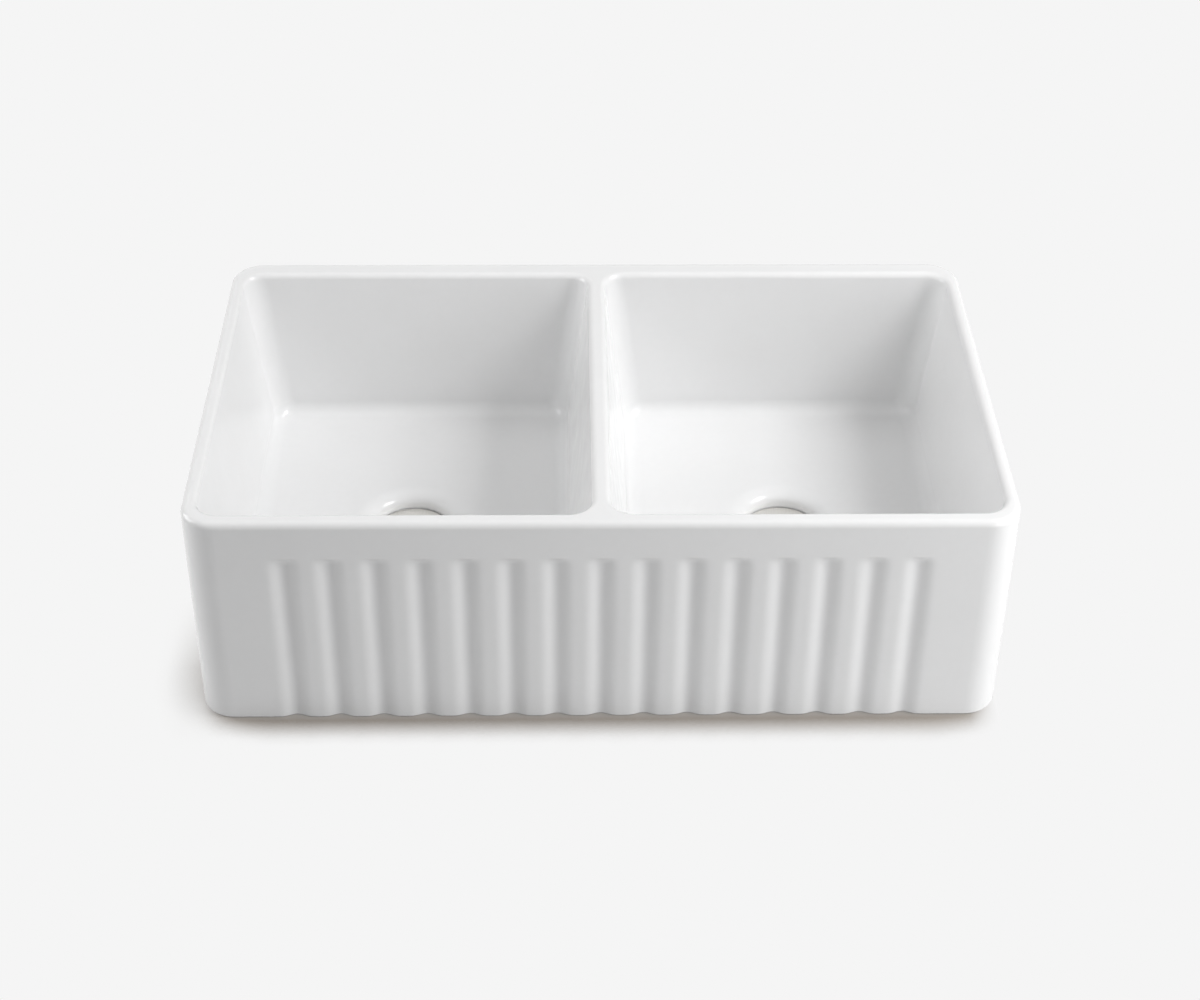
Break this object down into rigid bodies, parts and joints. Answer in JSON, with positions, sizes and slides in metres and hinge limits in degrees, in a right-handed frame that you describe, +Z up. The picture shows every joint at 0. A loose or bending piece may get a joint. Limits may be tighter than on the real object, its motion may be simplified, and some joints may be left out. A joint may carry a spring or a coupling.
{
  "type": "farmhouse apron front sink",
  "caption": "Fireclay farmhouse kitchen sink with two bowls, a fluted apron front, and a covered lift-out basket strainer in each drain.",
  "frame": {"origin": "centre of the base, on the plane the foot ring stands on", "axes": "+X to the right seen from the front, +Y from the apron to the back, +Z up"},
  "size_m": [0.8382, 0.504, 0.254],
  "materials": {
    "white_glaze": "glossy white glaze over fireclay, bare matt clay on the foot ring",
    "satin_steel": "satin stainless steel",
    "bright_steel": "bright pressed stainless steel",
    "black_rubber": "matt black rubber",
    "fibre": "pressed brown fibre",
    "nut_brass": "rough cast brass",
    "white_plastic": "white moulded plastic"
  },
  "bodies": {
    "sink": {"sink_body": "white_glaze", "left_strainer_body": "bright_steel", "left_flange_gasket": "black_rubber", "left_sealing_washer": "black_rubber", "left_friction_washer": "fibre", "left_lock_nut": "nut_brass", "left_coupling_washer": "white_plastic", "left_coupling_nut": "nut_brass", "right_strainer_body": "bright_steel", "right_flange_gasket": "black_rubber", "right_sealing_washer": "black_rubber", "right_friction_washer": "fibre", "right_lock_nut": "nut_brass", "right_coupling_washer": "white_plastic", "right_coupling_nut": "nut_brass"},
    "left_strainer_basket": {"left_basket": "bright_steel", "left_basket_post": "bright_steel", "left_stopper_seal": "black_rubber", "left_spring_clip": "bright_steel"},
    "right_strainer_basket": {"right_basket": "bright_steel", "right_basket_post": "bright_steel", "right_stopper_seal": "black_rubber", "right_spring_clip": "bright_steel"},
    "left_cover": {"left_drain_cover": "satin_steel"},
    "right_cover": {"right_drain_cover": "satin_steel"}
  },
  "joints": [
    {"name": "left_basket_lift", "type": "slide", "parent": "sink", "child": "left_strainer_basket", "axis": [0, 0, 1], "range_m": [0, 0.25]},
    {"name": "right_basket_lift", "type": "slide", "parent": "sink", "child": "right_strainer_basket", "axis": [0, 0, 1], "range_m": [0, 0.25]},
    {"name": "left_cover_lift", "type": "slide", "parent": "left_strainer_basket", "child": "left_cover", "axis": [0, 0, 1], "range_m": [0, 0.21]},
    {"name": "right_cover_lift", "type": "slide", "parent": "right_strainer_basket", "child": "right_cover", "axis": [0, 0, 1], "range_m": [0, 0.21]}
  ]
}
